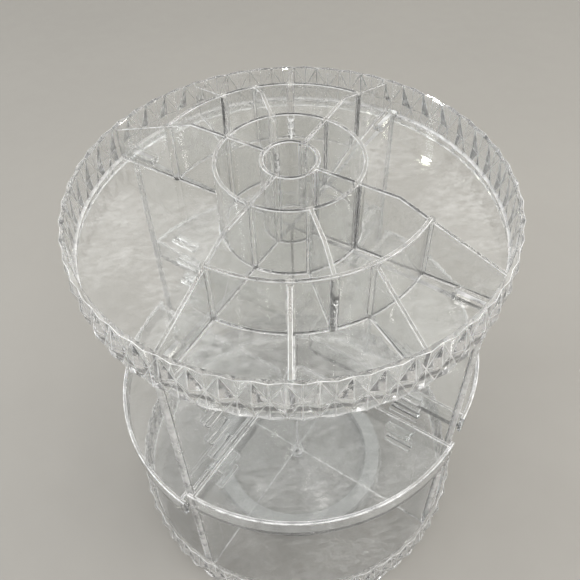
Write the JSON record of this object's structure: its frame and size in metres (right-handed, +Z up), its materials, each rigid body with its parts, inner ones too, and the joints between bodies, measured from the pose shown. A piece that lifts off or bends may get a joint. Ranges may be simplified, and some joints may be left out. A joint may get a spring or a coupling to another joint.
{
  "type": "rotating desktop organizer",
  "caption": "Clear round organizer on a ball-bearing turntable: divided top tray, upright panels and lift-in corner shelves for small supplies.",
  "frame": {"origin": "on the turning axis, on the surface that the rubber pads rest on", "axes": "+Z up along the turning axis; -Y through the middle of the front sector; +X to the right seen from the front"},
  "size_m": [0.2386, 0.2386, 0.3045],
  "materials": {
    "clear_tray": "clear polished plastic",
    "clear_panel": "clear polished plastic",
    "clear_shelf": "clear polished plastic",
    "clear_base": "clear polished plastic",
    "clear_foot": "clear polished plastic",
    "frosted_ring": "frosted translucent white",
    "cage_plastic": "natural white",
    "steel": "polished steel",
    "screw_steel": "zinc-plated",
    "pad_rubber": "soft translucent grey"
  },
  "bodies": {
    "foot": {"foot_disc": "clear_foot", "foot_pads": "pad_rubber", "lower_race": "frosted_ring"},
    "cage": {"ball_cage": "cage_plastic", "bearing_balls": "steel"},
    "turret": {"base_floor": "clear_base", "base_rim": "clear_base", "upper_race": "frosted_ring", "race_screws": "screw_steel", "pivot_screw": "screw_steel", "pivot_washer": "cage_plastic", "panel_front_left": "clear_panel", "panel_front_right": "clear_panel", "panel_back_right": "clear_panel", "panel_back_left": "clear_panel"},
    "front_shelf": {"shelf_front": "clear_shelf"},
    "right_shelf": {"shelf_right": "clear_shelf"},
    "back_shelf": {"shelf_back": "clear_shelf"},
    "left_shelf": {"shelf_left": "clear_shelf"},
    "top_tray": {"tray_floor": "clear_tray", "tray_rim": "clear_tray", "tray_sockets": "clear_tray", "tray_cup": "clear_tray", "tray_ring": "clear_tray", "tray_spokes": "clear_tray", "tray_cross_walls": "clear_tray", "tray_middle_walls": "clear_tray", "tray_outer_walls": "clear_tray", "tray_front_arc": "clear_tray", "tray_back_arc": "clear_tray"}
  },
  "joints": [
    {"name": "turntable_spin", "type": "hinge", "parent": "foot", "child": "turret", "pos_m": [0, 0, 0], "axis": [0, 0, 1], "continuous": true},
    {"name": "cage_spin", "type": "hinge", "parent": "foot", "child": "cage", "pos_m": [0, 0, 0], "axis": [0, 0, 1], "continuous": true},
    {"name": "front_shelf_slide", "type": "slide", "parent": "turret", "child": "front_shelf", "axis": [0, -1, 0], "range_m": [0, 0.09]},
    {"name": "right_shelf_slide", "type": "slide", "parent": "turret", "child": "right_shelf", "axis": [1, 0, 0], "range_m": [0, 0.09]},
    {"name": "back_shelf_slide", "type": "slide", "parent": "turret", "child": "back_shelf", "axis": [0, 1, 0], "range_m": [0, 0.09]},
    {"name": "left_shelf_slide", "type": "slide", "parent": "turret", "child": "left_shelf", "axis": [-1, 0, 0], "range_m": [0, 0.09]},
    {"name": "tray_lift", "type": "slide", "parent": "turret", "child": "top_tray", "axis": [0, 0, 1], "range_m": [0, 0.06]}
  ],
  "couplings": [
    {"joint": "cage_spin", "follows": "turntable_spin", "ratio": 0.5}
  ]
}
